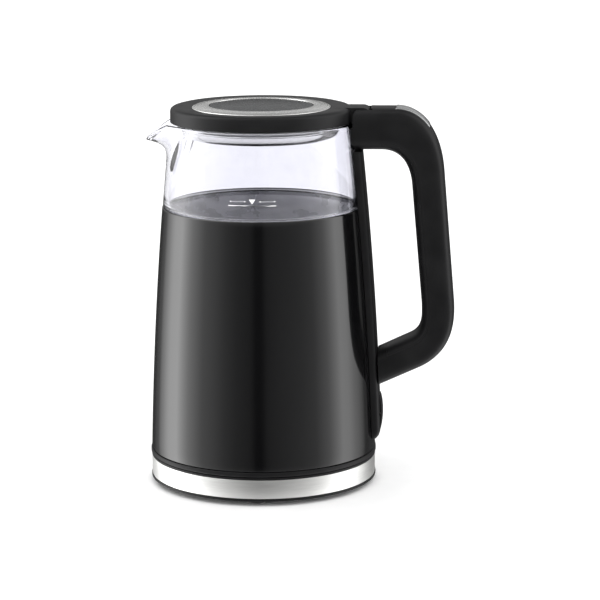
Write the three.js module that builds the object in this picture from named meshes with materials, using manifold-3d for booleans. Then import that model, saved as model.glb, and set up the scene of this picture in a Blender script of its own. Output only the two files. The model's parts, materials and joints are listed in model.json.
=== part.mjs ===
// Cordless electric kettle on its power base: glass jar, black outer jacket, steel-ringed lid, D handle.
// Millimetres, +Z up. The origin is on the kettle's axis at the height of the table; the handle points
// along +X, the spout along -X, and the side with the power cord's outlet faces +Y.
import * as THREE from "three";
import { mergeVertices } from "three/addons/utils/BufferGeometryUtils.js";
import Module from "manifold-3d";

const wasm = await Module();
wasm.setup();

// ---------------------------------------------------------------- driving dimensions
const CLEAR = 0.3; // gap left between two pieces that touch
const ROUND = 36; // facets round a large ring
const SMALL = 20; // facets round a small one

// power base
const footRadius = 6;
const footHeight = 2.7;
const footInset = 11; // from the base's edge to a foot's middle
const hubHeight = 1.8; // how far the base's middle hub stands below its floor
const hubRadius = 22;
const baseProud = 0.3; // how far the base stands out beyond the body's foot
const baseLip = 1.9;
const baseWall = 2.2;
const bandInset = 0.4; // how far the steel band lies inside the base's edge
const bandHeight = 12.4;
const bandWall = 0.7;
const baseEdge = 1.7; // height of the top cover's own edge above the steel band
const deckDrop = 0.9; // how far the base's deck lies below that edge
const screwInset = 23; // from the base's edge to a screw
const glandRadius = 5;
const cordRadius = 3.2;

// cordless connector
const bossRadius = 18;
const bossHeight = 11; // above the deck
const socketWall = 3;
const contactPinRadius = 2;
const contactRingRadius = 9.5; // middle of the ring's wall
const contactWall = 1.6;

// kettle body
const seam = 0.4; // shadow gap between base and kettle
const skirtHeight = 3;
const skirtProud = 0.5; // how far the skirt stands out beyond the body's foot
const bottomRadius = 74.7;
const rimRadius = 65.6; // jacket's outer radius at its upper rim
const jacketHeight = 161.7;
const jacketBow = 0.53; // share of the taper that grows with the square of the height
const jacketWall = 1.2;
const compartment = 22.6; // room for the electrics, from the kettle's underside to the glass
const doubleWall = 10.21; // from the body beside the steam inlet in to the foot of the glass
const glassWall = 3;
const neckHeight = 55.6; // clear glass above the jacket
const floorWall = 1.2; // heating plate
const sealHeight = 2.2;
const elementCircle = 37;
const elementRadius = 3.6;
const elementGap = 70; // degrees left open for the control

// spout
const spoutReach = 15.9; // beyond the glass wall
const spoutDip = 10; // how far the lip lies below the rim
const spoutRoot = 24; // height of the flare below the rim

// handle
const stripProud = 4.2;
const stripWidth = 31;
const stripFoot = 30; // height of the strip's lower end
const handleWidth = 31;
const armDepth = 27.6;
const gripDepth = 21.6;
const fingerTop = 32.6; // finger room under the upper arm
const fingerLow = 29; // finger room above the lower arm
const lowerArm = 88; // height of the lower arm's upper edge at the strip
const lowerRise = 11.5; // how far that edge climbs to the grip
const lowerDepth = 22.5;
const shellWall = 3.6;
const coverDepth = 5; // inner grip cover
const bevel = 3;

// lid
const lidHeight = 10;
const lidInset = 0.34; // how far the lid's edge lies inside the glass wall's outside
const lidTaper = 1.6; // how much smaller its top is
const lidWall = 2;
const ringInset = 12.5; // from the lid's top edge to the steel ring
const ringWidth = 11.5;
const ringRise = 1.5;
const capRise = 1.5;
const linerGap = 5.44; // room for the seal between the liner and the glass
const linerDepth = 10;
const linerWall = 0.9;
const hingeBehind = 6.9; // from the lid's edge to the hinge pin
const knuckleRadius = 6.2;
const knuckleWidth = 20;
const pinRadius = 1.5;

// controls
const buttonLength = 25;
const buttonWidth = 18;
const buttonProud = 0.5;
const buttonTravel = 2.5;
const paddleLength = 24;
const paddleWidth = 14;
const paddleWall = 3.2;
const linkWidth = 4;
const linkHeight = 3;

// ---------------------------------------------------------------- heights that follow from them
const baseUnder = footHeight + CLEAR;
const lipTop = baseUnder + baseLip;
const bandTop = lipTop + bandHeight;
const baseTop = bandTop + baseEdge;
const deck = baseTop - deckDrop;
const bossTop = deck + bossHeight;
const kettleUnder = baseTop + seam;
const skirtTop = kettleUnder + skirtHeight;
const jacketFoot = skirtTop + CLEAR;
const jacketTop = jacketFoot + jacketHeight;
const glassBottom = jacketFoot + compartment;
const glassRim = jacketTop + neckHeight;
const sealBottom = glassBottom - CLEAR - sealHeight;
const plateTop = sealBottom - CLEAR;
const plateUnder = plateTop - floorWall;
const ledgeTop = plateUnder - CLEAR;
const lidUnder = glassRim + CLEAR;
const steamZ = lowerArm - 13;
const lidTop = lidUnder + lidHeight;

// Outer radius of the body at height z: a taper that tightens towards the top.
function bodyRadius(z) {
  const u = (z - jacketFoot) / jacketHeight;
  return bottomRadius - (bottomRadius - rimRadius) * ((1 - jacketBow) * u + jacketBow * u * u);
}
const stripFace = (z) => bodyRadius(z) + stripProud;
const neckRadius = (z) => bodyRadius(z) - CLEAR;

// ---------------------------------------------------------------- radii that follow from them
const baseRadius = bottomRadius + baseProud;
const bandRadius = baseRadius - bandInset;
const footCircle = baseRadius - footInset;
const screwCircle = baseRadius - screwInset;
const skirtRadius = bottomRadius + skirtProud;
const glassFoot = bodyRadius(steamZ) - doubleWall;
const glassNeck = neckRadius(glassRim); // outside of the glass at its rim
const lidRadius = glassNeck - lidInset;
const lidTopRadius = lidRadius - lidTaper;
const ringOuter = lidTopRadius - ringInset;
const ringInner = ringOuter - ringWidth;
const linerRadius = glassNeck - glassWall - linerGap;
const hingeX = lidRadius + hingeBehind;
const hingeZ = lidTop - knuckleRadius;

// ---------------------------------------------------------------- solids
// Closed geometry to a manifold-3d solid, and back.
function solid(geometry) {
  const bare = new THREE.BufferGeometry();
  const loose = geometry.index ? geometry.toNonIndexed() : geometry;
  bare.setAttribute("position", loose.getAttribute("position"));
  const merged = mergeVertices(bare, 1e-4);
  return new wasm.Manifold(
    new wasm.Mesh({
      numProp: 3,
      vertProperties: merged.attributes.position.array,
      triVerts: new Uint32Array(merged.index.array),
    }),
  );
}

function geometryOf(manifold) {
  const mesh = manifold.getMesh();
  const geometry = new THREE.BufferGeometry();
  geometry.setAttribute("position", new THREE.BufferAttribute(mesh.vertProperties, 3));
  geometry.setIndex(new THREE.BufferAttribute(mesh.triVerts, 1));
  return geometry;
}

const joined = (solids) => solids.reduce((whole, next) => whole.add(next));
const cut = (whole, cutters) => cutters.reduce((left, cutter) => left.subtract(cutter), whole);

// A ring or disc turned about the Z axis from [radius, z] corners in either order.
function turned(corners, facets = ROUND) {
  const area = corners.reduce((sum, [r, z], i) => {
    const [nextR, nextZ] = corners[(i + 1) % corners.length];
    return sum + r * nextZ - nextR * z;
  }, 0);
  const ordered = area > 0 ? corners : [...corners].reverse();
  const onAxis = ordered.some(([r]) => r === 0);
  const start = onAxis ? ordered.findIndex(([r], i) => r === 0 && ordered.at(i - 1)[0] === 0) : 0;
  const turn = [...ordered.slice(start), ...ordered.slice(0, start)];
  if (!onAxis) turn.push(turn[0]);
  const points = turn.map(([r, z]) => new THREE.Vector2(r, z));
  return solid(new THREE.LatheGeometry(points, facets).rotateX(Math.PI / 2));
}

// A round bar along Z, moved to (x, y).
function post(radius, z0, z1, x = 0, y = 0, facets = SMALL) {
  const bar = new THREE.CylinderGeometry(radius, radius, z1 - z0, facets).rotateX(Math.PI / 2);
  return solid(bar.translate(x, y, (z0 + z1) / 2));
}

// A round bar along Y through (x, z), or along X through (y, z).
function barY(radius, x, z, y0, y1, facets = SMALL) {
  return solid(new THREE.CylinderGeometry(radius, radius, y1 - y0, facets).translate(x, (y0 + y1) / 2, z));
}
function barX(radius, y, z, x0, x1, facets = SMALL) {
  const bar = new THREE.CylinderGeometry(radius, radius, x1 - x0, facets).rotateZ(Math.PI / 2);
  return solid(bar.translate((x0 + x1) / 2, y, z));
}

function block([x0, y0, z0], [x1, y1, z1]) {
  const box = new THREE.BoxGeometry(x1 - x0, y1 - y0, z1 - z0);
  return solid(box.translate((x0 + x1) / 2, (y0 + y1) / 2, (z0 + z1) / 2));
}

// An outline in the XZ plane, made a slab of the given width about y = 0, with its edges bevelled.
function slab(points, width, edge = 0) {
  const shape = new THREE.Shape(points);
  const geometry = new THREE.ExtrudeGeometry(shape, {
    depth: width - 2 * edge,
    bevelEnabled: edge > 0,
    bevelSize: edge,
    bevelThickness: edge,
    bevelOffset: -edge,
    bevelSegments: 2,
    curveSegments: 1,
  });
  return solid(geometry.translate(0, 0, edge - width / 2).rotateX(Math.PI / 2));
}

function tube(points, radius, steps, sides = 8) {
  const section = new THREE.Shape().absarc(0, 0, radius, 0, 2 * Math.PI);
  const path = new THREE.CatmullRomCurve3(points);
  return solid(new THREE.ExtrudeGeometry(section, { steps, extrudePath: path, curveSegments: sides / 2 }));
}

const circle = (count, radius, start = 0) =>
  Array.from({ length: count }, (_, i) => {
    const turn = start + (2 * Math.PI * i) / count;
    return [radius * Math.cos(turn), radius * Math.sin(turn)];
  });

// ---------------------------------------------------------------- finishes
const finish = (color, roughness, metalness = 0) => ({ color, roughness, metalness });
const BLACK_GLOSS = finish(0x141416, 0.12);
const BLACK_SATIN = finish(0x1c1c1d, 0.45);
const STEEL = finish(0xc9c9c8, 0.3, 1);
const BRASS = finish(0xc2a05a, 0.35, 1);
const RUBBER = finish(0x161616, 0.85);
const SILICONE = finish(0xd9d9d6, 0.6);
const GLASS = { ...finish(0xf2f5f7, 0.03), transparent: true, opacity: 0.3 };
const CAP = finish(0x38383b, 0.3);
const ALUMINIUM = finish(0xb6b8ba, 0.45, 1);
const CERAMIC = finish(0xe6e2d6, 0.7);

const kettle = new THREE.Group();
function add(name, manifold, look) {
  const mesh = new THREE.Mesh(geometryOf(manifold), new THREE.MeshStandardMaterial(look));
  mesh.name = name;
  kettle.add(mesh);
}

// ---------------------------------------------------------------- power base
const coverWallOuter = bandRadius - bandWall - CLEAR; // top cover's wall, just inside the band
const coverWallInner = coverWallOuter - baseWall;
const floorTop = baseUnder + baseWall;

// Where the power cord leaves: a grommet through the base's rear wall.
const glandZ = (lipTop + bandTop) / 2;
const alongY = (radius, y0, y1, facets = SMALL) => barY(radius, 0, glandZ, y0, y1, facets);

const screwPlaces = circle(3, screwCircle, Math.PI / 6);
const screwHead = 3;
const screwShank = 1.5;

const bottomCover = turned([
  [0, footHeight + CLEAR - hubHeight],
  [hubRadius, footHeight + CLEAR - hubHeight],
  [hubRadius, baseUnder],
  [baseRadius - 0.6, baseUnder],
  [baseRadius, baseUnder + 0.6],
  [baseRadius, lipTop - CLEAR],
  [coverWallInner, lipTop - CLEAR],
  [coverWallInner, floorTop - CLEAR],
  [0, floorTop - CLEAR],
]);
const screwHoles = screwPlaces.flatMap(([x, y]) => [
  post(screwShank + CLEAR, baseUnder - 1, bandTop, x, y, 12),
  post(screwHead + CLEAR, baseUnder - 1, baseUnder + 1.2, x, y, 12),
]);
add("base_bottom_cover", cut(bottomCover, screwHoles), BLACK_SATIN);

const topCover = turned([
  [coverWallOuter, lipTop],
  [coverWallOuter, bandTop + CLEAR],
  [baseRadius - 0.2, bandTop + CLEAR],
  [baseRadius - 0.2, baseTop - 0.5],
  [baseRadius - 0.8, baseTop],
  [skirtRadius - 4, baseTop],
  [skirtRadius - 5, deck],
  [bossRadius, deck],
  [bossRadius, deck - baseWall],
  [coverWallInner, deck - baseWall],
  [coverWallInner, lipTop],
]);
// The screws from below run up into these pillars under the deck.
const pillars = screwPlaces.map(([x, y]) => post(4, floorTop, deck - baseWall + 0.5, x, y, 12));
const pillarHoles = screwPlaces.map(([x, y]) => post(screwShank + CLEAR, floorTop - 1, deck - 3.5, x, y, 12));
const glandHole = alongY(glandRadius + CLEAR, coverWallInner - 3, baseRadius);
add("base_top_cover", cut(joined([topCover, ...pillars]), [...pillarHoles, glandHole]), BLACK_SATIN);

const band = turned([
  [bandRadius - bandWall, lipTop],
  [bandRadius, lipTop],
  [bandRadius, bandTop],
  [bandRadius - bandWall, bandTop],
]);
add("base_trim_band", cut(band, [glandHole]), STEEL);

screwPlaces.forEach(([x, y], i) => {
  const head = post(screwHead, baseUnder, baseUnder + 0.9, x, y, 12);
  const shank = post(screwShank, baseUnder + 0.5, deck - 4, x, y, 12);
  add(`base_screw_${i + 1}`, head.add(shank), STEEL);
});

circle(4, footCircle, -Math.PI / 2).forEach(([x, y], i) => {
  add(`base_foot_${i + 1}`, post(footRadius, 0, footHeight, x, y), RUBBER);
});

const gland = alongY(glandRadius, coverWallInner - 1, bandRadius + 2.4);
add("cord_gland", cut(gland, [alongY(cordRadius, coverWallInner - 2, baseRadius + 4)]), RUBBER);

// ---------------------------------------------------------------- cordless connector
const ringSlotInner = contactRingRadius - contactWall / 2;
const ringSlotOuter = contactRingRadius + contactWall / 2;
const slotFloor = deck - 1;
const slotRoom = 1.2; // room for the base's own contacts beside the kettle's

const boss = turned([
  [0, floorTop],
  [bossRadius - CLEAR, floorTop],
  [bossRadius - CLEAR, bossTop - 1],
  [bossRadius - CLEAR - 1, bossTop],
  [0, bossTop],
]);
const pinHole = post(contactPinRadius + slotRoom + CLEAR, slotFloor, bossTop + 1);
const ringSlot = turned([
  [ringSlotInner - slotRoom - CLEAR, slotFloor],
  [ringSlotOuter + CLEAR, slotFloor],
  [ringSlotOuter + CLEAR, bossTop + 1],
  [ringSlotInner - slotRoom - CLEAR, bossTop + 1],
]);
add("base_connector", cut(boss, [pinHole, ringSlot]), BLACK_SATIN);

const sleeveTop = bossTop - 3;
function sleeve(inner, outer) {
  return turned([
    [inner, slotFloor + CLEAR],
    [outer, slotFloor + CLEAR],
    [outer, sleeveTop],
    [inner, sleeveTop],
  ], SMALL);
}
add("base_pin_contact", sleeve(contactPinRadius + CLEAR, contactPinRadius + slotRoom), BRASS);
add("base_ring_contact", sleeve(ringSlotInner - slotRoom, ringSlotInner - CLEAR), BRASS);

const socketInner = bossRadius + CLEAR;
const socketOuter = socketInner + socketWall;
const socketRoof = bossTop + 1;
const socketTop = socketRoof + socketWall;
add("kettle_connector", turned([
  [0, socketRoof],
  [socketInner, socketRoof],
  [socketInner, kettleUnder],
  [socketOuter, kettleUnder],
  [socketOuter, socketTop - 1],
  [socketOuter - 1, socketTop],
  [0, socketTop],
], ROUND), BLACK_SATIN);
const contactTop = socketRoof - CLEAR;
add("kettle_pin_contact", post(contactPinRadius, slotFloor + 2, contactTop), BRASS);
add("kettle_ring_contact", turned([
  [ringSlotInner, slotFloor + 2],
  [ringSlotOuter, slotFloor + 2],
  [ringSlotOuter, contactTop],
  [ringSlotInner, contactTop],
], SMALL), BRASS);

// ---------------------------------------------------------------- kettle body
const jacketInner = (z) => bodyRadius(z) - jacketWall;
const bodySteps = (z0, z1, count) => Array.from({ length: count + 1 }, (_, i) => z0 + ((z1 - z0) * i) / count);

// A lever, a steam tube and two screws cross the wall between the handle strip and the inside.
const paddleZ = stripFoot + 4 + paddleLength / 2;
const linkZ = jacketFoot + 12.5;
const screwZ = lowerArm - 8;
const screwSpread = 8;
const steamRadius = 2.4;
const linkHole = block(
  [bottomRadius - 8, -linkWidth / 2 - CLEAR, linkZ - linkHeight / 2 - CLEAR],
  [bottomRadius + 4, linkWidth / 2 + CLEAR, linkZ + linkHeight / 2 + CLEAR],
);
// Steam tube: from the arm, through the grip, and back through the wall to its drop inside the jacket.
const armUnder = lidTop - armDepth;
const holeTopX = stripFace(armUnder) + fingerTop;
const holeLowX = stripFace(lowerArm) + fingerLow;
const holeLowZ = lowerArm + lowerRise;
const rootEnd = stripFace(lowerArm) + 8;
const steamDrop = jacketInner(steamZ + steamRadius + 1) - steamRadius - 0.95;
const tubeMiddle = coverDepth + 6;
const tubeIn = (x, z) => new THREE.Vector3(x, 0, z);
const tubeStart = hingeX + 16;
const tubeTurn = holeTopX + 3;
const steamPath = [
  tubeIn(tubeStart, armUnder + tubeMiddle),
  tubeIn(tubeStart + 0.35 * (tubeTurn - tubeStart), armUnder + tubeMiddle - 0.6),
  tubeIn(tubeTurn, armUnder + 1),
  tubeIn(holeTopX + tubeMiddle, armUnder - 22),
  tubeIn((holeTopX + holeLowX) / 2 + tubeMiddle, (armUnder + holeLowZ) / 2),
  tubeIn(holeLowX + tubeMiddle, holeLowZ + 18),
  tubeIn(holeLowX + 4, holeLowZ - 5),
  tubeIn(rootEnd + 12, steamZ + 9),
  tubeIn(rootEnd + 2, steamZ + 1.5),
  tubeIn(rootEnd - 6, steamZ),
  tubeIn(steamDrop + steamRadius + CLEAR, steamZ),
];
const steamSteps = 26;
const steamHole = tube(steamPath, steamRadius + CLEAR, steamSteps, 8);
const handleScrewHoles = [-screwSpread, screwSpread].map((y) =>
  barX(screwShank + CLEAR, y, screwZ, jacketInner(screwZ) - 6, stripFace(screwZ) + 7, 12));

const jacketOuterLine = bodySteps(jacketFoot, jacketTop - 0.5, 6).map((z) => [bodyRadius(z), z]);
const jacketInnerLine = bodySteps(jacketTop, jacketFoot, 4).map((z) => [jacketInner(z), z]);
const jacket = turned([...jacketOuterLine, [bodyRadius(jacketTop) - 0.5, jacketTop], ...jacketInnerLine]);
add("outer_jacket", cut(jacket, [linkHole, steamHole, ...handleScrewHoles]), BLACK_GLOSS);

const socketRoomRadius = socketOuter + CLEAR;
const collarOuter = (z) => jacketInner(z) - CLEAR;
const collarInner = collarOuter(jacketFoot) - 2.4;
const skirtFloor = kettleUnder + 2.2;
const underCover = turned([
  [socketRoomRadius, kettleUnder],
  [skirtRadius - 0.8, kettleUnder],
  [skirtRadius, kettleUnder + 0.8],
  [skirtRadius, skirtTop - 0.8],
  [skirtRadius - 0.8, skirtTop],
  [collarOuter(skirtTop), skirtTop],
  [collarInner - CLEAR, skirtFloor],
  [socketRoomRadius, skirtFloor],
]);
const underScrews = screwPlaces.flatMap(([x, y]) => [
  post(screwShank + CLEAR, kettleUnder - 1, skirtFloor + 1, x, y, 12),
  post(screwHead + CLEAR, kettleUnder - 1, kettleUnder + 1.2, x, y, 12),
]);
add("under_cover", cut(underCover, underScrews), BLACK_SATIN);

// The collar carries the jacket, the heating plate and the glass.
const ledgeInner = glassFoot - 4.6;
const nest = glassFoot + CLEAR;
const collarTop = glassBottom + 6;
const web = 2.4;
const collarBody = turned([
  [ledgeInner, ledgeTop - web],
  [collarInner, ledgeTop - web],
  [collarInner, jacketFoot],
  [collarOuter(jacketFoot), jacketFoot],
  [collarOuter(ledgeTop), ledgeTop],
  [nest + 2.2, ledgeTop],
  [nest + 2.2, collarTop],
  [nest, collarTop],
  [nest, ledgeTop],
  [ledgeInner, ledgeTop],
]);
const bossFoot = skirtFloor + CLEAR;
const towers = screwPlaces.map(([x, y]) => post(4, bossFoot, ledgeTop - web / 2, x, y, 12));
const tie = screwPlaces.map(([x, y]) => post(7, ledgeTop - web, ledgeTop - 0.4, x * 1.06, y * 1.06, 12));
const towerHoles = screwPlaces.map(([x, y]) => post(screwShank + CLEAR, bossFoot - 1, bossFoot + 8.4, x, y, 12));
const dropHole = post(steamRadius + CLEAR, ledgeTop - web - 1, ledgeTop + 1, steamDrop, 0, 12);
add("body_collar", cut(joined([collarBody, ...towers, ...tie]), [...towerHoles, dropHole, linkHole]), BLACK_SATIN);
screwPlaces.forEach(([x, y], i) => {
  const head = post(screwHead, kettleUnder + 0.2, kettleUnder + 0.9, x, y, 12);
  add(`under_screw_${i + 1}`, head.add(post(screwShank, kettleUnder + 0.5, bossFoot + 8, x, y, 12)), STEEL);
});

add("heating_plate", turned([
  [0, plateUnder],
  [glassFoot, plateUnder],
  [glassFoot, plateTop],
  [0, plateTop],
]), STEEL);
add("plate_seal", turned([
  [glassFoot - glassWall - 1.6, plateTop + CLEAR],
  [glassFoot, plateTop + CLEAR],
  [glassFoot, glassBottom - CLEAR],
  [glassFoot - glassWall - 1.6, glassBottom - CLEAR],
]), SILICONE);

const spreaderRadius = elementCircle + elementRadius + 4;
const spreaderTop = plateUnder - CLEAR;
const spreaderUnder = spreaderTop - 2.6;
add("heat_spreader", turned([
  [0, spreaderUnder],
  [spreaderRadius, spreaderUnder],
  [spreaderRadius, spreaderTop],
  [0, spreaderTop],
], 32), ALUMINIUM);

const elementZ = spreaderUnder - CLEAR - elementRadius;
const elementArc = THREE.MathUtils.degToRad(360 - elementGap);
const elementStart = THREE.MathUtils.degToRad(elementGap / 2);
const elementPath = Array.from({ length: 13 }, (_, i) => {
  const turn = elementStart + (elementArc * i) / 12;
  return new THREE.Vector3(elementCircle * Math.cos(turn), elementCircle * Math.sin(turn), elementZ);
});
add("heating_element", tube(elementPath, elementRadius, 24, 8), ALUMINIUM);
[-1, 1].forEach((side, i) => {
  const x = elementCircle * Math.cos(elementStart) + 2;
  const y = side * (elementCircle * Math.sin(elementStart) - 0.9);
  const tab = block([x, y - 1.7, elementZ - 4], [x + 6.4, y + 1.7, elementZ + 2]);
  add(`element_terminal_${i + 1}`, tab, BRASS);
});

// Control: dry-boil disc under the plate, and the steam switch beside the connector.
const discTop = spreaderUnder - CLEAR;
add("dry_boil_disc", turned([[0, discTop - 1.4], [9, discTop - 0.6], [9, discTop], [0, discTop]], SMALL), BRASS);
add("control_block", post(12, socketTop + CLEAR, discTop - 1.4 - CLEAR, 0, 0, 24), CERAMIC);
const switchFront = collarInner - 18;
const steamSwitch = block([socketOuter + 3, -9, linkZ - 8], [switchFront, 9, linkZ + 2.5]);
add("steam_switch", steamSwitch, BLACK_SATIN);

// ---------------------------------------------------------------- glass jar
// Each column of the jar's wall is a curve up the outside, over the rim and down the inside.
const spoutFoot = glassRim - spoutRoot;
const tipRound = 0.06; // radians of rounding at the tip
// Where the beak's sides leave the round wall, as an angle from its tip.
const spoutHalf = Math.acos(glassNeck / (glassNeck + spoutReach)) + tipRound;

function bezier(a, b, c, d, t) {
  const s = 1 - t;
  return [0, 1].map((i) => s * s * s * a[i] + 3 * s * s * t * b[i] + 3 * s * t * t * c[i] + t * t * t * d[i]);
}
const mix = (a, b, share) => a.map((value, i) => value + (b[i] - value) * share);

function jarColumn(turn) {
  const off = Math.sqrt((turn - Math.PI) ** 2 + tipRound ** 2);
  const reach = off < spoutHalf ? glassNeck / Math.cos(spoutHalf - off) : glassNeck;
  const beak = (reach - glassNeck) / spoutReach;
  const rim = glassRim - spoutDip * Math.max(0, (beak - 0.3) / 0.7);
  const foot = [neckRadius(spoutFoot), spoutFoot];
  const straight = (share) => {
    const z = spoutFoot + (glassRim - 1 - spoutFoot) * share;
    return [neckRadius(z), z];
  };
  const low = mix(straight(0.33), [foot[0] - 0.3, spoutFoot + 8], beak);
  const high = mix(straight(0.66), [foot[0] + 4, spoutFoot + 9.4], beak);
  const lip = [reach, rim - 1 - 1.4 * beak];
  const inward = (point, drop) => [point[0] - glassWall + 0.6 * beak * drop, point[1] + 2.6 * beak * drop];
  const steps = [0, 0.2, 0.4, 0.6, 0.8, 1];
  const outside = steps.map((t) => bezier(foot, low, high, lip, t));
  const inside = steps.map((t) =>
    bezier(inward(foot, 0), inward(low, 0.4), inward(high, 1), [reach - glassWall, rim - 0.6], 1 - t));
  const shoulder = jacketTop + CLEAR;
  const below = jacketInner(shoulder) - CLEAR;
  return [
    [glassFoot, glassBottom],
    [below, jacketTop - 2],
    [below, shoulder],
    [neckRadius(shoulder + 0.4), shoulder + 0.4],
    ...outside,
    [reach - glassWall / 2, rim],
    ...inside,
    [below - glassWall, shoulder],
    [glassFoot - glassWall, glassBottom],
  ];
}

function jarGeometry() {
  const half = Array.from({ length: 19 }, (_, i) => (i * 10 * Math.PI) / 180).filter((turn) => turn < 2.35);
  const near = Array.from({ length: 10 }, (_, i) => Math.PI * (0.75 + (0.25 * i) / 9));
  const side = [...half, ...near];
  const turns = [...side, ...side.slice(1, -1).reverse().map((turn) => 2 * Math.PI - turn)];
  const columns = turns.map(jarColumn);
  const rows = columns[0].length;
  const positions = [];
  columns.forEach((column, i) =>
    column.forEach(([r, z]) => positions.push(r * Math.cos(turns[i]), r * Math.sin(turns[i]), z)));
  const index = [];
  for (let i = 0; i < columns.length; i += 1) {
    const next = (i + 1) % columns.length;
    for (let j = 0; j < rows; j += 1) {
      const up = (j + 1) % rows;
      const [a, b, c, d] = [i * rows + j, next * rows + j, next * rows + up, i * rows + up];
      index.push(a, b, c, a, c, d);
    }
  }
  const geometry = new THREE.BufferGeometry();
  geometry.setAttribute("position", new THREE.Float32BufferAttribute(positions, 3));
  geometry.setIndex(index);
  return geometry;
}
add("glass_jar", solid(jarGeometry()), GLASS);

// ---------------------------------------------------------------- handle
// Space that the round body takes: nothing on the handle reaches into it.
const bodySpace = turned([
  [0, kettleUnder - 5],
  [bodyRadius(kettleUnder) + CLEAR, kettleUnder - 5],
  ...bodySteps(kettleUnder, lidTop + 6, 8).map((z) => [bodyRadius(z) + CLEAR, z]),
  [0, lidTop + 6],
]);
const cornerTop = 23; // where the finger edge's upper corner ends, below the arm

// The handle's edge beside the fingers, moved outwards by d.
function fingerEdge(d) {
  const path = new THREE.Path();
  path.moveTo(bodyRadius(armUnder) - 6, armUnder + d);
  path.lineTo(holeTopX - 20 + d / 3, armUnder + d);
  path.bezierCurveTo(
    holeTopX - 9 + 0.6 * d, armUnder + d,
    holeTopX - 1.5 + d, armUnder - 7 + 0.6 * d,
    holeTopX + d, armUnder - cornerTop,
  );
  path.lineTo(holeLowX + d, holeLowZ + 22);
  path.bezierCurveTo(
    holeLowX + 0.7 + d, holeLowZ + 8 - 0.3 * d,
    holeLowX - 0.6 + 0.6 * d, holeLowZ + 3 - 0.8 * d,
    holeLowX - 7 + 0.4 * d, holeLowZ - 0.5 - 0.9 * d,
  );
  path.lineTo(bodyRadius(lowerArm) - 6, lowerArm - 4 - 1.1 * d);
  return path.getPoints(7);
}

// The handle's outer edge, moved inwards by d.
const outTopX = holeTopX + gripDepth;
const outLowX = holeLowX + gripDepth;
function outerEdge(d) {
  const path = new THREE.Path();
  path.moveTo(bodyRadius(lidTop) - 6, lidTop - d);
  path.lineTo(outTopX - 32, lidTop - d);
  path.bezierCurveTo(
    outTopX - 17 - 0.4 * d, lidTop - d,
    outTopX - 3 - d, lidTop - 13 - 0.4 * d,
    outTopX - 0.5 - d, armUnder - 14,
  );
  path.lineTo(outLowX - d, holeLowZ + 20);
  path.bezierCurveTo(
    outLowX + 1 - d, holeLowZ,
    outLowX - 6 - 0.6 * d, holeLowZ - 13 + 0.8 * d,
    outLowX - 21 - 0.4 * d, holeLowZ - 21 + 0.9 * d,
  );
  path.lineTo(bodyRadius(lowerArm) - 6, lowerArm - lowerDepth - 5 + 1.1 * d);
  return path.getPoints(7);
}

const limbs = (outer, inner) => [...outer, ...inner.reverse()];
const coverSplit = coverDepth + CLEAR;
const headFront = hingeX - knuckleRadius; // the handle's head starts behind the lid's edge
const headBack = hingeX + 14;
const coverEndTop = headBack - 4;

const shellBody = slab(limbs(outerEdge(0), fingerEdge(0)), handleWidth, bevel);
const coverRoom = slab(limbs(fingerEdge(coverSplit), fingerEdge(-8)), handleWidth + 2);
const coverSpan = (gap) => block([coverEndTop - gap, -handleWidth, 0], [200, handleWidth, 400])
  .subtract(block([0, -handleWidth, 0], [rootEnd + 6 - gap, handleWidth, (lowerArm + armUnder) / 2]));
const hollow = slab(limbs(outerEdge(shellWall), fingerEdge(coverDepth - 1)), handleWidth - 2 * shellWall - 3)
  .intersect(block([headBack, -handleWidth, 0], [200, handleWidth, 400])
    .subtract(block([0, -handleWidth, 0], [rootEnd + 4, handleWidth, (lowerArm + armUnder) / 2])));

// Hinge at the head: the lid's knuckle turns in a round pocket between two ears.
const sweep = knuckleRadius + 2.1;
const earHalf = knuckleWidth / 2 + 0.6;
const hingePocket = barY(sweep, hingeX, hingeZ, -earHalf, earHalf, 32);
const frontPocket = block([headFront - 12, -earHalf, hingeZ - sweep], [hingeX, earHalf, lidTop + 5]);
const aboveEars = block([headFront - 12, -handleWidth, hingeZ], [hingeX, handleWidth, lidTop + 5])
  .subtract(barY(knuckleRadius, hingeX, hingeZ, -handleWidth, handleWidth, 32));
const beforeHead = block([0, -handleWidth, lidUnder - 3], [headFront, handleWidth, lidTop + 5]);
const pinHoleSpan = handleWidth / 2 - 2;
const hingeHole = barY(pinRadius + CLEAR, hingeX, hingeZ, -pinHoleSpan - CLEAR, pinHoleSpan + CLEAR, 12);

// Handle strip down the body, and the pockets in it.
const stripTop = armUnder - 0.5;
const stripLine = bodySteps(stripFoot, stripTop, 8);
const stripOutline = [
  ...stripLine.map((z) => new THREE.Vector2(bodyRadius(z) - 6, z)).reverse(),
  new THREE.Vector2(stripFace(stripFoot) - 3, stripFoot),
  ...stripLine.map((z, i) => new THREE.Vector2(stripFace(z), i ? z : z + 3)),
];
const paddleFace = stripFace(paddleZ);
const paddleRoom = block(
  [paddleFace - 3.4, -paddleWidth / 2 - CLEAR, paddleZ - paddleLength / 2 - CLEAR],
  [paddleFace + 8, paddleWidth / 2 + CLEAR, paddleZ + paddleLength / 2 + CLEAR],
);
const paddlePinX = paddleFace - 0.4;
const paddlePinRadius = 1;
const paddlePinHalf = paddleWidth / 2 + 4;
const paddlePinHole = barY(paddlePinRadius + CLEAR, paddlePinX, paddleZ, -paddlePinHalf - CLEAR, paddlePinHalf + CLEAR, 12);
const strip = slab(stripOutline, stripWidth, 1.5).subtract(bodySpace);
add("handle_strip", cut(strip, [paddleRoom, paddlePinHole, linkHole, steamHole, ...handleScrewHoles]), BLACK_SATIN);
const stripSpace = slab([
  ...stripLine.map((z) => new THREE.Vector2(0, z)).reverse(),
  ...stripLine.map((z) => new THREE.Vector2(stripFace(z) + CLEAR, z)),
], handleWidth + 8);

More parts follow.
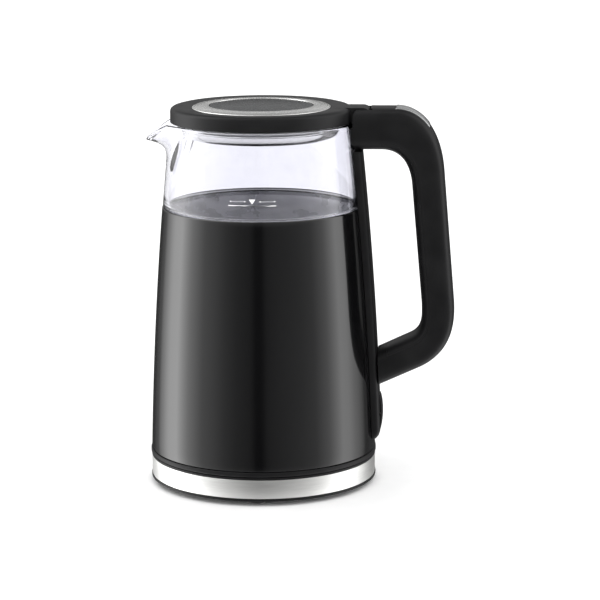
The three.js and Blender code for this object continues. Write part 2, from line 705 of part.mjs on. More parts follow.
// Thumb button let into the outer corner of the handle, square to the corner.
const buttonMiddle = new THREE.Vector2(outTopX - 21, lidTop - 6);
const buttonTilt = Math.atan2(12.5, 20); // fall of the corner under the button
const sink = new THREE.Vector3(-Math.sin(buttonTilt), 0, -Math.cos(buttonTilt));
function cornerBox(length, width, low, high) {
  const box = new THREE.BoxGeometry(length, width, high - low).translate(0, 0, (low + high) / 2);
  return solid(box.rotateY(buttonTilt).translate(buttonMiddle.x, 0, buttonMiddle.y));
}
const buttonRoom = cornerBox(buttonLength + 2 * CLEAR, buttonWidth + 2 * CLEAR, -3 - buttonTravel - CLEAR, 12);
const buttonSolid = slab(limbs(outerEdge(-buttonProud), fingerEdge(0)), handleWidth)
  .intersect(cornerBox(buttonLength, buttonWidth, -2.6, 12));
add("release_button", buttonSolid, STEEL);

const latchZ = hingeZ - 1;
const latchSlot = block([hingeX, -4 - CLEAR, latchZ - 2 - CLEAR], [headBack + 2, 4 + CLEAR, latchZ + 2 + CLEAR]);
const shellCuts = [
  bodySpace, stripSpace, hollow, coverRoom.intersect(coverSpan(0)), hingePocket, frontPocket, aboveEars,
  beforeHead, hingeHole, latchSlot, buttonRoom, steamHole, ...handleScrewHoles,
];
add("handle_shell", cut(shellBody, shellCuts), BLACK_SATIN);

const coverSolid = slab(limbs(fingerEdge(coverDepth), fingerEdge(0)), handleWidth, 1.5)
  .intersect(coverSpan(-CLEAR))
  .subtract(stripSpace);
add("handle_grip_cover", coverSolid, BLACK_SATIN);

const latchReach = hingeX + knuckleRadius + CLEAR;
const latchBar = block([latchReach, -4, latchZ - 2], [headBack + 6, 4, latchZ + 2]);
add("lid_latch", latchBar, BLACK_SATIN);

const screwSeat = Math.sqrt(jacketInner(screwZ + screwHead) ** 2 - (screwSpread + screwHead) ** 2) - CLEAR;
[-screwSpread, screwSpread].forEach((y, i) => {
  const head = barX(screwHead, y, screwZ, screwSeat - 1.3, screwSeat, 12);
  const shank = barX(screwShank, y, screwZ, screwSeat - 0.5, stripFace(screwZ) + 6, 12);
  add(`handle_screw_${i + 1}`, head.add(shank), STEEL);
});
add("hinge_pin", barY(pinRadius, hingeX, hingeZ, -pinHoleSpan, pinHoleSpan, 12), STEEL);

add("steam_tube", tube(steamPath, steamRadius, steamSteps, 8), SILICONE);
const dropPath = [
  tubeIn(steamDrop, steamZ + steamRadius + 1),
  tubeIn(steamDrop, ledgeTop + 8),
  tubeIn(steamDrop, ledgeTop - web - 1),
];
add("steam_drop_tube", tube(dropPath, steamRadius, 4, 8), SILICONE);

// ---------------------------------------------------------------- power switch
const paddle = slab([
  new THREE.Vector2(paddleFace - 1.4, paddleZ - paddleLength / 2),
  new THREE.Vector2(paddleFace + paddleWall - 2.2, paddleZ - paddleLength / 2),
  new THREE.Vector2(paddleFace + paddleWall - 1.4, paddleZ),
  new THREE.Vector2(paddleFace + paddleWall - 2.2, paddleZ + paddleLength / 2),
  new THREE.Vector2(paddleFace - 1.4, paddleZ + paddleLength / 2),
], paddleWidth, 0.5);
const paddleBore = barY(paddlePinRadius + CLEAR, paddlePinX, paddleZ, -paddleWidth, paddleWidth, 12);
add("power_switch", cut(paddle, [paddleBore]), BLACK_GLOSS);
add("switch_pin", barY(paddlePinRadius, paddlePinX, paddleZ, -paddlePinHalf, paddlePinHalf, 12), STEEL);
add("switch_link", block(
  [switchFront + 1.6, -linkWidth / 2, linkZ - linkHeight / 2],
  [paddleFace - 1.4 - CLEAR, linkWidth / 2, linkZ + linkHeight / 2],
), CERAMIC);

// ---------------------------------------------------------------- lid
const plateHeight = lidTop - ringRise - 2.2;
const lidBody = turned([
  [0, plateHeight - lidWall],
  [linerRadius + CLEAR, plateHeight - lidWall],
  [linerRadius + CLEAR, lidUnder],
  [lidRadius - 0.6, lidUnder],
  [lidRadius, lidUnder + 0.6],
  [lidRadius, lidTop - 2.4],
  [lidTopRadius, lidTop],
  [ringOuter + CLEAR, lidTop - 0.6],
  [ringOuter + CLEAR, plateHeight],
  [0, plateHeight],
]);
const tabHalf = knuckleWidth / 2;
const tab = block([lidTopRadius - 4, -tabHalf, lidUnder], [hingeX, tabHalf, hingeZ + knuckleRadius])
  .add(barY(knuckleRadius, hingeX, hingeZ, -tabHalf, tabHalf, 32));
const knuckleBore = barY(pinRadius + CLEAR, hingeX, hingeZ, -tabHalf - 1, tabHalf + 1, 12);
add("lid_shell", cut(lidBody.add(tab), [knuckleBore]), BLACK_SATIN);
add("lid_trim_ring", turned([
  [ringInner + CLEAR, plateHeight + CLEAR],
  [ringOuter, plateHeight + CLEAR],
  [ringOuter, lidTop - 0.5],
  [ringInner + CLEAR, lidTop - 0.5 + ringRise],
]), STEEL);
add("lid_centre_cap", turned([
  [0, plateHeight + CLEAR],
  [ringInner, plateHeight + CLEAR],
  [ringInner, lidTop - 0.8 + ringRise],
  [ringInner * 0.6, lidTop - 1 + ringRise + capRise * 0.7],
  [0, lidTop - 1 + ringRise + capRise],
]), CAP);
const linerFoot = lidUnder - linerDepth;
add("lid_liner", turned([
  [0, linerFoot],
  [linerRadius - 4, linerFoot],
  [linerRadius - 1.2, linerFoot + 1.2],
  [linerRadius, linerFoot + 4],
  [linerRadius, plateHeight - lidWall - CLEAR],
  [linerRadius - linerWall, plateHeight - lidWall - CLEAR],
  [linerRadius - linerWall, linerFoot + 4.2],
  [linerRadius - 4.4, linerFoot + linerWall],
  [0, linerFoot + linerWall],
]), STEEL);
const sealRadius = glassNeck - glassWall - 0.7;
add("lid_seal", turned([
  [linerRadius + CLEAR, lidUnder - 2.6],
  [sealRadius - 0.8, lidUnder - 2.6],
  [sealRadius, lidUnder - CLEAR],
  [linerRadius + CLEAR, lidUnder - CLEAR],
]), SILICONE);

export default kettle;
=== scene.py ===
import json
import math

import bpy
from mathutils import Matrix, Quaternion, Vector


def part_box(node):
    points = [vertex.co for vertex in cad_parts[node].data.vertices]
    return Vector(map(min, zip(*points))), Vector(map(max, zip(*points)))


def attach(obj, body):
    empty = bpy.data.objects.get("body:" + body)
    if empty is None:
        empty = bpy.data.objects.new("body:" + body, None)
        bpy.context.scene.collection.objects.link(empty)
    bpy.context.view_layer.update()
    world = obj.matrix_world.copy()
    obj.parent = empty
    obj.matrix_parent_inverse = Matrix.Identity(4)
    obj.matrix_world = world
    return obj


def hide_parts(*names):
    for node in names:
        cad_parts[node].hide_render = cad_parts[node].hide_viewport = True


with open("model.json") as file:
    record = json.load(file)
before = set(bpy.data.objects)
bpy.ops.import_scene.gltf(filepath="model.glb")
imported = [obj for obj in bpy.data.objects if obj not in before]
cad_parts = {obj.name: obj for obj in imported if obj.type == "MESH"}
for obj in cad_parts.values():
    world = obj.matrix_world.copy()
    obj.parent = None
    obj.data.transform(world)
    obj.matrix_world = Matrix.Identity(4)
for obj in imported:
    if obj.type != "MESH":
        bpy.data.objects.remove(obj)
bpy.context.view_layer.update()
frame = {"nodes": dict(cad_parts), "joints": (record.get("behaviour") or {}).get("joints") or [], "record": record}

MM = 0.001

# ---------------------------------------------------------------- places taken from the frame
JACKET_LOW, JACKET_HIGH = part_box("outer_jacket")
GLASS_LOW, GLASS_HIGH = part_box("glass_jar")
LID_LOW, LID_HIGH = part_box("lid_shell")
SHELL_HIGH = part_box("handle_shell")[1]
STRIP_LOW, STRIP_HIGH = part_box("handle_strip")
PADDLE_LOW, PADDLE_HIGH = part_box("power_switch")
BAND_LOW, BAND_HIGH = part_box("base_trim_band")
COVER_LOW, COVER_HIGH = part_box("base_bottom_cover")
DECK_LOW, DECK_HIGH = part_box("base_top_cover")
UNDER_LOW, UNDER_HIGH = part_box("under_cover")
LINER_LOW, LINER_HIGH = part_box("lid_liner")
SEAL_LOW, SEAL_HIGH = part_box("lid_seal")
RING_LOW, RING_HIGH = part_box("lid_trim_ring")
CAP_LOW, CAP_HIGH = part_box("lid_centre_cap")
PLATE_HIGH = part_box("heating_plate")[1]
JOINTS = {joint["name"]: joint for joint in frame["joints"]}
HINGE = Vector(JOINTS["lid_hinge"]["pos_m"])

# ---------------------------------------------------------------- sizes of the looks
BIG_ROUND = 192  # steps round the body's large pieces
RIM_RADIUS = 65.6 * MM  # jacket's outer radius at its rim
JACKET_BOW = 0.53  # share of the taper that grows with the height squared
JACKET_WALL = 1.2 * MM
CLEAR = 0.3 * MM
STRIP_PROUD = 4.2 * MM  # how far the strip behind the handle stands out from the body
GLASS_WALL = 3 * MM
SILVER_DROP = 1.2 * MM  # from the jacket's rim down to where the silvering starts
SPOUT_REACH = 15.9 * MM
SPOUT_DIP = 10 * MM  # how far the tip lies below the rim
SPOUT_ROOT = 24 * MM  # how far below the rim the spout starts
KNUCKLE = 6.2 * MM
TAB_HALF = 10 * MM
PIN_BORE = 1.8 * MM
FILL_HEIGHT = JACKET_HIGH.z + 10 * MM

CAMERA_PLACE = Vector((0.1332, -1.6921, 0.4707))
CAMERA_HEADING = math.radians(-3.664)
CAMERA_PITCH = math.radians(11.658)
CAMERA_ROLL = math.radians(0.2588)
CAMERA_LENS = 156.7


def body_radius(z):
    """Outer radius of the tapering body at a height."""
    share = (z - JACKET_LOW.z) / (JACKET_HIGH.z - JACKET_LOW.z)
    fall = (1 - JACKET_BOW) * share + JACKET_BOW * share * share
    return JACKET_HIGH.x - (JACKET_HIGH.x - RIM_RADIUS) * fall


def heights(low, high, count):
    """Evenly spaced values from low to high."""
    return [low + (high - low) * i / count for i in range(count + 1)]


def share_of(value, start, length):
    """How far a value has got along a length, from 0 to 1."""
    return min(max((value - start) / length, 0), 1)


def eased(share):
    return share * share * (3 - 2 * share)


def mixed(a, b, share):
    return tuple(p + (q - p) * share for p, q in zip(a, b))


def bezier(a, b, c, d, t):
    s = 1 - t
    return tuple(s ** 3 * p + 3 * s * s * t * q + 3 * s * t * t * r + t ** 3 * e
                 for p, q, r, e in zip(a, b, c, d))


def squarish(value, power):
    """A sine or cosine drawn out, so that a circle becomes a square with round corners."""
    return math.copysign(abs(value) ** (2 / power), value)


# ---------------------------------------------------------------- camera
camera_data = bpy.data.cameras.new("camera")
camera_data.lens = CAMERA_LENS
camera_data.clip_end = 60
camera = bpy.data.objects.new("camera", camera_data)
bpy.context.scene.collection.objects.link(camera)
ahead = Vector((
    math.sin(CAMERA_HEADING) * math.cos(CAMERA_PITCH),
    math.cos(CAMERA_HEADING) * math.cos(CAMERA_PITCH),
    -math.sin(CAMERA_PITCH),
))
camera.location = CAMERA_PLACE
camera.rotation_euler = (Quaternion(ahead, CAMERA_ROLL) @ ahead.to_track_quat("-Z", "Y")).to_euler()
bpy.context.scene.camera = camera


# ---------------------------------------------------------------- materials
def colour(hex_value):
    """An sRGB hex value as a linear colour."""
    parts = [int(hex_value[i:i + 2], 16) / 255 for i in (1, 3, 5)]
    linear = [p / 12.92 if p <= 0.04045 else ((p + 0.055) / 1.055) ** 2.4 for p in parts]
    return (*linear, 1)


def grey(value):
    return (value, value, value, 1)


def add(tree, kind, values=None, links=None, stops=None, **settings):
    """Adds a node with its settings, its socket values, the sockets that feed it and a ramp's stops."""
    made = tree.nodes.new(kind)
    for name, value in settings.items():
        setattr(made, name, value)
    for socket, value in (values or {}).items():
        made.inputs[socket].default_value = value
    for socket, source in (links or {}).items():
        tree.links.new(source, made.inputs[socket])
    if stops:
        elements = made.color_ramp.elements
        while len(elements) < len(stops):
            elements.new(0.5)
        for element, (place, value) in zip(elements, stops):
            element.position = place
            element.color = value
    return made


def surface(name, **constants):
    """A material with one Principled shader, and its tree."""
    material = bpy.data.materials.new(name)
    material.use_nodes = True
    tree = material.node_tree
    shader = tree.nodes["Principled BSDF"]
    for socket, value in constants.items():
        shader.inputs[socket.replace("_", " ")].default_value = value
    return material, tree, shader


def object_noise(tree, grain, stretch=(1, 1, 1), detail=3.0):
    """Noise whose grains are about this many metres across, stretched by the given factors."""
    place = add(tree, "ShaderNodeTexCoord").outputs["Object"]
    mapped = add(tree, "ShaderNodeMapping", {"Scale": [1 / factor for factor in stretch]}, {"Vector": place})
    noise = add(tree, "ShaderNodeTexNoise", {"Scale": 1 / grain, "Detail": detail},
                {"Vector": mapped.outputs["Vector"]})
    return noise.outputs["Fac"]


def tint(tree, shader, pattern, low, high):
    """Lets the base colour wander between two near tones."""
    tone = add(tree, "ShaderNodeValToRGB", links={"Fac": pattern}, stops=[(0.3, colour(low)), (0.7, colour(high))])
    tree.links.new(tone.outputs["Color"], shader.inputs["Base Color"])


def roughen(tree, shader, pattern, low, high, start=0.3):
    """Lets the roughness wander between two values."""
    rough = add(tree, "ShaderNodeValToRGB", links={"Fac": pattern}, stops=[(start, grey(low)), (0.7, grey(high))])
    tree.links.new(rough.outputs["Color"], shader.inputs["Roughness"])


def emboss(tree, shader, pattern, strength, depth):
    """Raises the pattern as a bump, its depth in metres."""
    bump = add(tree, "ShaderNodeBump", {"Strength": strength, "Distance": depth}, {"Height": pattern})
    tree.links.new(bump.outputs["Normal"], shader.inputs["Normal"])


def gloss_black_abs():
    """High-gloss moulded ABS: nearly a mirror, with a faint waviness from the mould and fine wiping marks."""
    material, tree, shader = surface("gloss_black_abs", IOR=1.62, Specular_IOR_Level=0.5)
    waves = object_noise(tree, 28 * MM, (1, 1, 4), 1.0)
    wiping = object_noise(tree, 1.1 * MM, (1, 1, 14), 4.0)
    tint(tree, shader, waves, "#080809", "#0c0c0d")
    roughen(tree, shader, wiping, 0.07, 0.13, start=0.35)
    emboss(tree, shader, waves, 0.05, 0.2 * MM)
    return material


def satin_black_pp():
    """Spark-textured polypropylene: a fine even grain that breaks up reflections."""
    material, tree, shader = surface("satin_black_pp", IOR=1.45, Specular_IOR_Level=0.22)
    grain = object_noise(tree, 0.5 * MM, detail=2.0)  # real spark grain is 0.1 mm; drawn coarser to show
    patches = object_noise(tree, 18 * MM, detail=2.0)
    tint(tree, shader, patches, "#121213", "#181819")
    roughen(tree, shader, patches, 0.38, 0.46)
    emboss(tree, shader, grain, 0.12, 0.08 * MM)
    return material


def brushed_steel(name, stretch, low="#e0e0de", high="#eeeeec", rough=(0.36, 0.42)):
    """Brushed stainless steel: fine scratches along one direction, which spread highlights across it."""
    material, tree, shader = surface(name, Metallic=1.0)
    scratches = object_noise(tree, 0.25 * MM, stretch, 5.0)  # real ones are finer; drawn coarser to show
    tint(tree, shader, scratches, low, high)
    roughen(tree, shader, scratches, *rough)
    emboss(tree, shader, scratches, 0.08, 0.03 * MM)
    return material


def ring_brushed_steel(name, low, high, rough):
    """Steel brushed in circles about the axis, as a spun disc is."""
    material, tree, shader = surface(name, Metallic=1.0)
    place = add(tree, "ShaderNodeTexCoord").outputs["Object"]
    flat = add(tree, "ShaderNodeVectorMath", {1: (1, 1, 0)}, {0: place}, operation="MULTIPLY")
    radius = add(tree, "ShaderNodeVectorMath", links={0: flat.outputs["Vector"]}, operation="LENGTH")
    # Real turning marks are finer; drawn coarser to show.
    rings = add(tree, "ShaderNodeTexNoise", {"Scale": 1 / (0.45 * MM), "Detail": 3.0},
                {"W": radius.outputs["Value"]}, noise_dimensions="1D").outputs["Fac"]
    tint(tree, shader, rings, low, high)
    roughen(tree, shader, rings, *rough)
    emboss(tree, shader, rings, 0.1, 0.03 * MM)
    return material


def borosilicate_glass():
    """Blown borosilicate: clear, very smooth, with the slow waviness of a mouth-blown wall."""
    material, tree, shader = surface("borosilicate_glass", IOR=1.473, Transmission_Weight=1.0, Roughness=0.0)
    waves = object_noise(tree, 30 * MM, (1, 1, 3), 1.0)
    tint(tree, shader, waves, "#eeeef4", "#f2f2f7")
    emboss(tree, shader, waves, 0.04, 0.3 * MM)
    return material


def speckled(name, low, high, rough, grain, strength, **constants):
    """A plain moulded, cast or drawn finish: two near tones and a matching unevenness, its grain in mm."""
    material, tree, shader = surface(name, **constants)
    noise = object_noise(tree, grain * MM)
    tint(tree, shader, noise, low, high)
    roughen(tree, shader, noise, *rough)
    emboss(tree, shader, noise, strength, 0.1 * MM)
    return material


GLOSS_BLACK = gloss_black_abs()
SATIN_BLACK = satin_black_pp()
# Scratches run round the band, so its grain is long across X and Y and fine along Z.
BAND_STEEL = brushed_steel("band_brushed_steel", (60, 60, 1))
LID_RING_STEEL = ring_brushed_steel("lid_ring_spun_steel", "#e8e8e6", "#f6f6f4", (0.24, 0.3))
PLATE_STEEL = ring_brushed_steel("plate_spun_steel", "#9a9a98", "#b4b4b2", (0.22, 0.34))
# The liner is deep drawn and polished: smooth, with faint rings on its foot.
LINER_STEEL = ring_brushed_steel("liner_drawn_steel", "#dededc", "#ececea", (0.14, 0.2))
SCREW_STEEL = brushed_steel("zinc_plated_steel", (1, 1, 1), "#8f9090", "#b0b1b0", (0.25, 0.4))
# The thumb button is plated plastic: bright, softly blurred.
BUTTON_SILVER = speckled("silver_plated_abs", "#b9babb", "#cacbcb", (0.26, 0.34), 0.4, 0.05, Metallic=1.0)
GLASS = borosilicate_glass()
# The part of the jar that the jacket hides is silvered: pale, cloudy and half matt.
SILVERING = speckled("silvered_glass", "#dcdce0", "#f6f6f8", (0.22, 0.36), 18, 0.04, Metallic=0.3)
# Smoked polycarbonate with a satin lacquer, on the lid's middle: dark grey, softly shining.
SMOKED_CAP = speckled("smoked_polycarbonate", "#1f2023", "#262829", (0.24, 0.32), 6, 0.03,
                      Specular_IOR_Level=0.2)
# Natural rubber and clear silicone: dull, slightly dusty skins.
RUBBER = speckled("natural_rubber", "#121212", "#1c1c1c", (0.75, 0.9), 0.6, 0.3)
SILICONE = speckled("translucent_silicone", "#cfd0d0", "#dfe0e0", (0.45, 0.6), 1.2, 0.1, Transmission_Weight=0.3)
BRASS = speckled("turned_brass", "#b8974f", "#cdae66", (0.25, 0.4), 0.5, 0.1, Metallic=1.0)
ALUMINIUM = speckled("die_cast_aluminium", "#9da0a3", "#b3b6b8", (0.4, 0.55), 0.7, 0.3, Metallic=1.0)
CERAMIC = speckled("glass_filled_ceramic", "#ddd8cb", "#e9e5da", (0.6, 0.75), 0.5, 0.2)
# Fired enamel ink of the fill mark: thin, white, slightly rough.
INK = speckled("white_enamel_ink", "#f2f2f2", "#ffffff", (0.4, 0.5), 0.3, 0.05)


# ---------------------------------------------------------------- tools for making pieces
def to_edit():
    bpy.ops.object.mode_set(mode="EDIT")
    bpy.ops.mesh.select_all(action="SELECT")


def to_object():
    bpy.ops.object.mode_set(mode="OBJECT")


def only(piece):
    """Makes this the one selected and active object."""
    bpy.ops.object.select_all(action="DESELECT")
    piece.select_set(True)
    bpy.context.view_layer.objects.active = piece


def modify(piece, kind, **settings):
    """Adds a modifier and applies it."""
    only(piece)
    modifier = piece.modifiers.new(kind.lower(), kind)
    for name, value in settings.items():
        setattr(modifier, name, value)
    bpy.ops.object.modifier_apply(modifier=modifier.name)


def soften(piece, width=0.0, angle=30):
    """Rounds the edges sharper than the angle, where a width is given, and smooths the shading."""
    if width:
        modify(piece, "BEVEL", width=width, segments=3, limit_method="ANGLE", angle_limit=math.radians(angle))
    only(piece)
    bpy.ops.object.shade_smooth_by_angle(angle=math.radians(35))
    return piece


def combine(piece, operation, *others):
    """Joins each other shape to the piece, takes it out of it, or keeps only what lies inside it."""
    for other in others:
        modify(piece, "BOOLEAN", object=other, operation=operation, solver="EXACT")
        bpy.data.objects.remove(other)


def turned(name, corners, steps=BIG_ROUND, soft=0.0):
    """Spins a profile of (radius, height) corners about the axis, closed unless it starts and ends on it."""
    bpy.ops.object.select_all(action="DESELECT")
    bpy.ops.mesh.primitive_plane_add(size=MM)
    piece = bpy.context.active_object
    piece.name = name
    to_edit()
    bpy.ops.mesh.merge(type="CENTER")
    places = [Vector((radius, 0, height)) for radius, height in corners]
    bpy.ops.transform.translate(value=places[0])
    for here, there in zip(places, [*places[1:], places[0]]):
        if places[0].x == 0 and there is places[0]:
            break
        bpy.ops.mesh.extrude_vertices_move(TRANSFORM_OT_translate={"value": there - here})
    bpy.ops.mesh.select_all(action="SELECT")
    bpy.ops.mesh.remove_doubles(threshold=1e-6)
    bpy.ops.mesh.spin(steps=steps, angle=2 * math.pi, center=(0, 0, 0), axis=(0, 0, 1))
    bpy.ops.mesh.select_all(action="SELECT")
    bpy.ops.mesh.remove_doubles(threshold=1e-6)
    bpy.ops.mesh.normals_make_consistent(inside=False)
    to_object()
    return soften(piece, soft)


def wrapped(name, along, around, place):
    """A grid wrapped by a formula and closed: place(u, v) for u along the piece and v once round it."""
    bpy.ops.object.select_all(action="DESELECT")
    bpy.ops.mesh.primitive_grid_add(x_subdivisions=along, y_subdivisions=around, size=2)
    piece = bpy.context.active_object
    piece.name = name
    for vertex in piece.data.vertices:
        vertex.co = place((vertex.co.x + 1) / 2, (vertex.co.y + 1) / 2)
    to_edit()
    bpy.ops.mesh.remove_doubles(threshold=1e-6)
    bpy.ops.mesh.select_all(action="DESELECT")
    bpy.ops.mesh.select_non_manifold()
    bpy.ops.mesh.fill_holes(sides=0)
    bpy.ops.mesh.select_all(action="SELECT")
    bpy.ops.mesh.normals_make_consistent(inside=False)
    to_object()
    return piece


def brick(name, low, high):
    """A block between two corners."""
    low, high = Vector(low), Vector(high)
    bpy.ops.object.select_all(action="DESELECT")
    bpy.ops.mesh.primitive_cube_add(size=1, location=(low + high) / 2)
    piece = bpy.context.active_object
    piece.name = name
    piece.scale = high - low
    bpy.ops.object.transform_apply(location=True, rotation=True, scale=True)
    return piece


def hinge_bar(name, radius, half):
    """A round bar on the lid's hinge line."""
    bpy.ops.object.select_all(action="DESELECT")
    bpy.ops.mesh.primitive_cylinder_add(vertices=64, radius=radius, depth=2 * half, location=HINGE,
                                        rotation=(math.pi / 2, 0, 0))
    piece = bpy.context.active_object
    piece.name = name
    bpy.ops.object.transform_apply(location=True, rotation=True, scale=True)
    return piece


def finish_piece(piece, material, body, slot, *nodes):
    """Gives a piece its material and its body, and hides the CAD nodes that it stands for; its slot is not used.
    """
    piece.data.materials.clear()
    piece.data.materials.append(material)
    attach(piece, body)
    if nodes:
        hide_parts(*nodes)


# ---------------------------------------------------------------- studio
SEEN_STRENGTH = 1.0
LIT_STRENGTH = 1.45
MIRRORED_STRENGTH = 4.0
# Brightness of the mirrored walls by direction: 0 is towards the front, -90 the spout's side, 90 the handle's.
SOFTBOXES = [(-180, 0.012), (-150, 0.02), (-135, 0.08), (-122, 0.36), (-110, 0.75), (-97, 1.0), (-80, 0.52),
             (-62, 0.24), (-48, 0.17), (-36, 0.1), (-24, 0.06), (-9, 0.035), (-3, 0.004), (3, 0.004), (9, 0.035),
             (20, 0.05), (33, 0.065), (46, 0.085), (60, 0.12), (76, 0.26), (94, 0.6), (104, 0.5), (114, 0.3),
             (135, 0.03), (180, 0.012)]
# Brightness added by elevation in degrees: the floor's glow below, the ceiling's glow above the horizon.
GLOWS = [(-90, 0.2), (-38, 0.2), (-24, 0.05), (-18, 0.0), (5, 0.0), (12, 0.15), (30, 0.08), (90, 0.06)]


def make_world():
    """A white surround for what is seen and lit, and dark walls with two long softboxes for what is mirrored."""
    world = bpy.data.worlds.new("studio")
    bpy.context.scene.world = world
    world.use_nodes = True
    tree = world.node_tree
    tree.nodes.clear()
    place = add(tree, "ShaderNodeTexCoord").outputs["Generated"]
    split = add(tree, "ShaderNodeSeparateXYZ", links={"Vector": place})
    front = add(tree, "ShaderNodeMath", {1: -1.0}, {0: split.outputs["Y"]}, operation="MULTIPLY")
    turn = add(tree, "ShaderNodeMath", links={0: split.outputs["X"], 1: front.outputs[0]}, operation="ARCTAN2")
    turn_share = add(tree, "ShaderNodeMapRange", {"From Min": -math.pi, "From Max": math.pi},
                     {"Value": turn.outputs[0]})
    boxes = add(tree, "ShaderNodeValToRGB", links={"Fac": turn_share.outputs["Result"]},
                stops=[(degrees / 360 + 0.5, grey(value)) for degrees, value in SOFTBOXES])
    up_share = add(tree, "ShaderNodeMapRange", {"From Min": -1.0, "From Max": 1.0}, {"Value": split.outputs["Z"]})
    glows = add(tree, "ShaderNodeValToRGB", links={"Fac": up_share.outputs["Result"]},
                stops=[(math.sin(math.radians(degrees)) / 2 + 0.5, grey(value)) for degrees, value in GLOWS])
    mirrored = add(tree, "ShaderNodeMix", {"Factor": 1.0},
                   {"A": boxes.outputs["Color"], "B": glows.outputs["Color"]},
                   data_type="RGBA", blend_type="ADD").outputs["Result"]
    seen = add(tree, "ShaderNodeBackground", {"Color": grey(1.0), "Strength": SEEN_STRENGTH})
    lit = add(tree, "ShaderNodeBackground", {"Color": grey(1.0), "Strength": LIT_STRENGTH})
    glossy = add(tree, "ShaderNodeBackground", {"Strength": MIRRORED_STRENGTH}, {"Color": mirrored})
    path = add(tree, "ShaderNodeLightPath")
    plain = add(tree, "ShaderNodeMixShader", links={0: path.outputs["Is Diffuse Ray"], 1: seen.outputs[0],
                                                    2: lit.outputs[0]})
    every = add(tree, "ShaderNodeMixShader", links={0: path.outputs["Is Glossy Ray"], 1: plain.outputs[0],
                                                    2: glossy.outputs[0]})
    add(tree, "ShaderNodeOutputWorld", links={"Surface": every.outputs[0]})
    world.cycles.sampling_method = "NONE"


def make_floor():
    """A matt white floor, left out of the mirrored surround, whose own glow stands for it."""
    bpy.ops.object.select_all(action="DESELECT")
    bpy.ops.mesh.primitive_plane_add(size=24)
    floor = bpy.context.active_object
    floor.name = "floor"
    floor.visible_glossy = False
    floor.data.materials.append(speckled("matt_white_board", "#f6f6f6", "#fbfbfb", (0.9, 1.0), 40, 0.02,
                                         Specular_IOR_Level=0.0))


make_world()
make_floor()
bpy.context.scene.view_settings.view_transform = "Standard"

# ---------------------------------------------------------------- black jacket
EDGE = 0.4 * MM
outer_line = [(body_radius(z), z) for z in heights(JACKET_LOW.z + EDGE, JACKET_HIGH.z - EDGE, 24)]
inner_line = [(body_radius(z) - JACKET_WALL, z) for z in heights(JACKET_HIGH.z, JACKET_LOW.z, 12)]
jacket = turned("jacket_of_gloss_black", [
    (body_radius(JACKET_LOW.z) - EDGE, JACKET_LOW.z),
    *outer_line,
    (body_radius(JACKET_HIGH.z) - EDGE, JACKET_HIGH.z),
    *inner_line,
], soft=0.12 * MM)
finish_piece(jacket, GLOSS_BLACK, "kettle", "gloss_black", "outer_jacket")

SKIRT_BORE = 21.6 * MM  # the opening round the connector
SKIRT_FLOOR = UNDER_LOW.z + 2.2 * MM
skirt = turned("skirt_under_jacket", [
    (SKIRT_BORE, UNDER_LOW.z),
    (UNDER_HIGH.x, UNDER_LOW.z),
    (UNDER_HIGH.x, UNDER_HIGH.z),
    (73 * MM, UNDER_HIGH.z),
    (70.4 * MM, SKIRT_FLOOR),
    (SKIRT_BORE, SKIRT_FLOOR),
], soft=0.7 * MM)
finish_piece(skirt, SATIN_BLACK, "kettle", "satin_black", "under_cover")

# ---------------------------------------------------------------- glass jar
NECK_RADIUS = body_radius(GLASS_HIGH.z) - CLEAR
TIP_ROUND = 0.06  # radians over which the spout's tip is rounded
SPOUT_HALF = math.acos(NECK_RADIUS / (NECK_RADIUS + SPOUT_REACH)) + TIP_ROUND
FOOT_RADIUS = PLATE_HIGH.x
CREASE_LENGTH = 31 * MM
CREASE_DEPTH = 1.1 * MM
CREASE_SPREAD = math.radians(3.6)
# The wall that the jacket hides ends a little below the jacket's rim.
HIDDEN_TOP = JACKET_HIGH.z - 2 * MM
HIDDEN_RADIUS = body_radius(JACKET_HIGH.z + CLEAR) - JACKET_WALL - 2 * CLEAR
# Where each stretch of the jar's section ends, as shares of the rows from the foot's outside to its inside.
HIDDEN_END, CLEAR_END, BEAK_END, RIM_END, INNER_BEAK_END = 0.1, 0.3, 0.48, 0.54, 0.72


